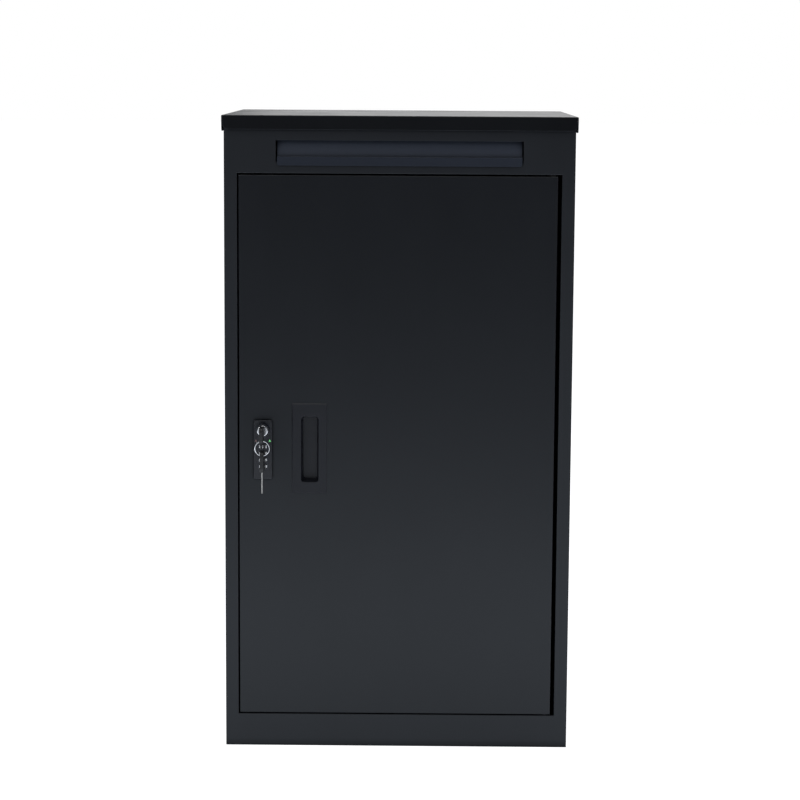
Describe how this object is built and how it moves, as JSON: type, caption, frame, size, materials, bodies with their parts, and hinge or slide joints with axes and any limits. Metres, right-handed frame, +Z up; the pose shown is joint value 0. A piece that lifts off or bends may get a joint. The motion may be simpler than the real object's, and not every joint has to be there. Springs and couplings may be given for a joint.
{
  "type": "parcel drop box",
  "caption": "Tall sheet-steel parcel and letter drop box with a hinged roof lid over a drop tray, a letter slot flap and an inset lockable door.",
  "frame": {"origin": "centre of the base, on the floor", "axes": "+Z up, front face towards -Y, +X to the right as seen from the front"},
  "size_m": [0.55, 0.5035, 1],
  "materials": {
    "powder_coat": "fine satin charcoal powder coat",
    "zinc_steel": "bright zinc plate",
    "rubber_black": "matt",
    "nylon_bush": "moulded",
    "handle_plastic": "fine grained moulding",
    "lock_black": "satin black over die-casting",
    "dial_black": "moulded, white figures",
    "chrome_lock": "polished",
    "key_steel": "nickel plate",
    "bow_plastic": "moulded",
    "mark_red": "paint fill",
    "mark_green": "paint fill"
  },
  "bodies": {
    "cabinet": {"front_frame": "powder_coat", "left_side_panel": "powder_coat", "right_side_panel": "powder_coat", "back_panel": "powder_coat", "back_rivets": "powder_coat", "base_panel": "powder_coat", "frame_pivot_plates": "powder_coat", "door_pivot_pins": "zinc_steel", "door_stops": "powder_coat", "door_bumpers": "rubber_black", "lid_hinge_body_leaf": "powder_coat", "lid_hinge_pin": "zinc_steel", "lid_hinge_body_rivets": "powder_coat", "lid_seal": "rubber_black", "tray_rod": "zinc_steel", "tray_brackets": "powder_coat", "flap_rod": "zinc_steel", "flap_brackets": "powder_coat", "slot_baffle": "powder_coat", "letter_ramp": "powder_coat"},
    "lid": {"roof_lid": "powder_coat", "lid_stiffener": "powder_coat", "lid_hinge_leaf": "powder_coat", "lid_hinge_rivets": "powder_coat", "lid_link_brackets": "powder_coat", "lid_link_pins": "zinc_steel"},
    "tray": {"drop_tray": "powder_coat", "tray_link_pins": "zinc_steel"},
    "left_link": {"left_link_bar": "powder_coat"},
    "right_link": {"right_link_bar": "powder_coat"},
    "flap": {"slot_flap": "powder_coat"},
    "door": {"door_panel": "powder_coat", "door_stiffener": "powder_coat", "door_bushes": "nylon_bush", "door_pivot_plates": "powder_coat", "recessed_handle": "handle_plastic", "handle_retainer": "handle_plastic", "lock_housing": "lock_black", "lock_clamp": "zinc_steel", "lock_clamp_screws": "zinc_steel", "lock_cover": "zinc_steel", "lock_cover_screws": "zinc_steel", "dial_shaft": "zinc_steel", "detent_spring": "zinc_steel", "status_mark_red": "mark_red", "status_mark_green": "mark_green"},
    "knob": {"lock_knob": "lock_black", "key_plug": "chrome_lock", "lock_spindle": "zinc_steel", "lock_cam": "zinc_steel", "cam_screw": "zinc_steel"},
    "key": {"key_blade": "key_steel", "key_bow": "bow_plastic"},
    "key_ring": {"key_ring": "chrome_lock"},
    "spare_key": {"spare_key_blade": "key_steel", "spare_key_bow": "bow_plastic"},
    "dial_1": {"dial_wheel_1": "dial_black"},
    "dial_2": {"dial_wheel_2": "dial_black"},
    "dial_3": {"dial_wheel_3": "dial_black"},
    "dial_4": {"dial_wheel_4": "dial_black"}
  },
  "joints": [
    {"name": "lid_hinge", "type": "hinge", "parent": "cabinet", "child": "lid", "pos_m": [0, 0.2226, 0.9962], "axis": [-1, 0, 0], "range_deg": [0, 78]},
    {"name": "tray_hinge", "type": "hinge", "parent": "cabinet", "child": "tray", "pos_m": [0, 0.205, 0.746], "axis": [-1, 0, 0], "range_deg": [0, 78]},
    {"name": "left_link_pivot", "type": "hinge", "parent": "lid", "child": "left_link", "pos_m": [-0.24775, 0.10442, 0.97536], "axis": [-1, 0, 0], "range_deg": [-78, 0]},
    {"name": "right_link_pivot", "type": "hinge", "parent": "lid", "child": "right_link", "pos_m": [0.24775, 0.10442, 0.97536], "axis": [-1, 0, 0], "range_deg": [-78, 0]},
    {"name": "flap_hinge", "type": "hinge", "parent": "cabinet", "child": "flap", "pos_m": [0, -0.2145, 0.9655], "axis": [-1, 0, 0], "range_deg": [0, 80]},
    {"name": "door_hinge", "type": "hinge", "parent": "cabinet", "child": "door", "pos_m": [0.2372, -0.211, 0.48], "axis": [0, 0, 1], "range_deg": [0, 105]},
    {"name": "knob_turn", "type": "hinge", "parent": "door", "child": "knob", "pos_m": [-0.2117, -0.22, 0.51], "axis": [0, 1, 0], "range_deg": [0, 90]},
    {"name": "key_pull", "type": "slide", "parent": "knob", "child": "key", "axis": [0, -1, 0], "range_m": [0, 0.027]},
    {"name": "ring_swing", "type": "hinge", "parent": "key", "child": "key_ring", "pos_m": [-0.2117, -0.26525, 0.49995], "axis": [-1, 0, 0], "range_deg": [-10, 45]},
    {"name": "spare_key_swing", "type": "hinge", "parent": "key_ring", "child": "spare_key", "pos_m": [-0.2102, -0.26525, 0.47615], "axis": [-1, 0, 0], "range_deg": [-20, 30]},
    {"name": "dial_1_spin", "type": "hinge", "parent": "door", "child": "dial_1", "pos_m": [-0.2117, -0.2172, 0.4836], "axis": [0, 0, 1], "continuous": true},
    {"name": "dial_2_spin", "type": "hinge", "parent": "door", "child": "dial_2", "pos_m": [-0.2117, -0.2172, 0.4731], "axis": [0, 0, 1], "continuous": true},
    {"name": "dial_3_spin", "type": "hinge", "parent": "door", "child": "dial_3", "pos_m": [-0.2117, -0.2172, 0.4626], "axis": [0, 0, 1], "continuous": true},
    {"name": "dial_4_spin", "type": "hinge", "parent": "door", "child": "dial_4", "pos_m": [-0.2117, -0.2172, 0.4521], "axis": [0, 0, 1], "continuous": true}
  ],
  "couplings": [
    {"joint": "tray_hinge", "follows": "lid_hinge", "ratio": 1},
    {"joint": "left_link_pivot", "follows": "lid_hinge", "ratio": -1},
    {"joint": "right_link_pivot", "follows": "lid_hinge", "ratio": -1}
  ]
}
